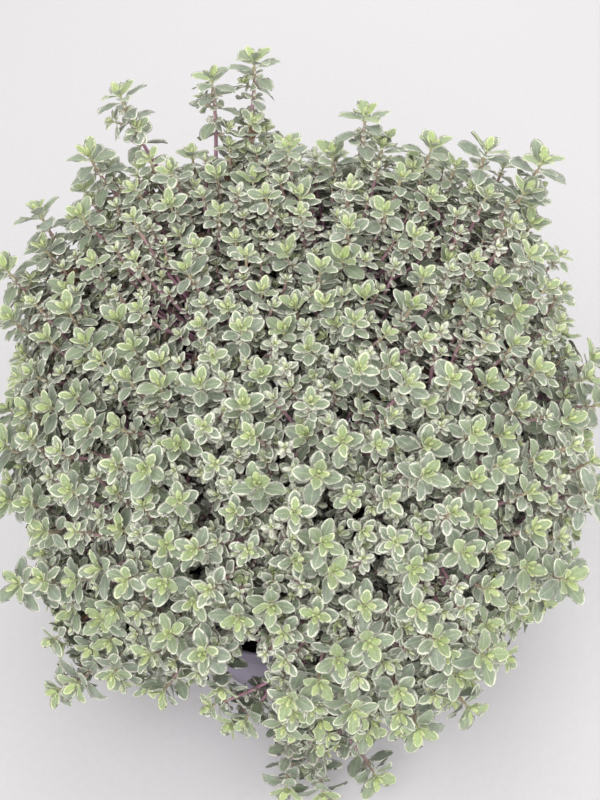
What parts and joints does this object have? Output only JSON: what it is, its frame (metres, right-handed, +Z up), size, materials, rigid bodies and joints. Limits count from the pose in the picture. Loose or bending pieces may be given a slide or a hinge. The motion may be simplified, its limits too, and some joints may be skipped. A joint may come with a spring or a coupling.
{
  "type": "potted thyme",
  "caption": "Variegated thyme in a round plastic nursery pot: a broad mound of small cream-edged leaves on thin stems that lean out over the rim and trail a little at the front.",
  "frame": {"origin": "middle of the pot's underside, on the surface that it stands on", "axes": "+Z up along the pot's axis, -Y towards the viewer of the picture, +X to the viewer's right"},
  "size_m": [0.3104, 0.3244, 0.2903],
  "materials": {
    "pot_plastic": "satin",
    "potting_mix": "matte",
    "leaf": "satin",
    "stem": "matte"
  },
  "bodies": {
    "root": {"pot": "pot_plastic", "potting_mix": "potting_mix", "leafy_stem_01": "leaf", "leafy_stem_02": "leaf", "leafy_stem_03": "leaf", "leafy_stem_04": "leaf", "leafy_stem_05": "leaf", "leafy_stem_06": "leaf", "leafy_stem_07": "leaf", "leafy_stem_08": "leaf", "leafy_stem_09": "leaf", "leafy_stem_10": "leaf", "leafy_stem_11": "leaf", "leafy_stem_12": "leaf", "leafy_stem_13": "leaf", "leafy_stem_14": "leaf", "leafy_stem_15": "leaf", "leafy_stem_16": "leaf", "leafy_stem_17": "leaf", "leafy_stem_18": "leaf", "leafy_stem_19": "leaf", "leafy_stem_20": "leaf", "leafy_stem_21": "leaf", "leafy_stem_22": "leaf", "leafy_stem_23": "leaf", "leafy_stem_24": "leaf", "leafy_stem_25": "leaf", "leafy_stem_26": "leaf", "leafy_stem_27": "leaf", "leafy_stem_28": "leaf", "leafy_stem_29": "leaf", "leafy_stem_30": "leaf", "leafy_stem_31": "leaf", "leafy_stem_32": "leaf"}
  },
  "joints": []
}
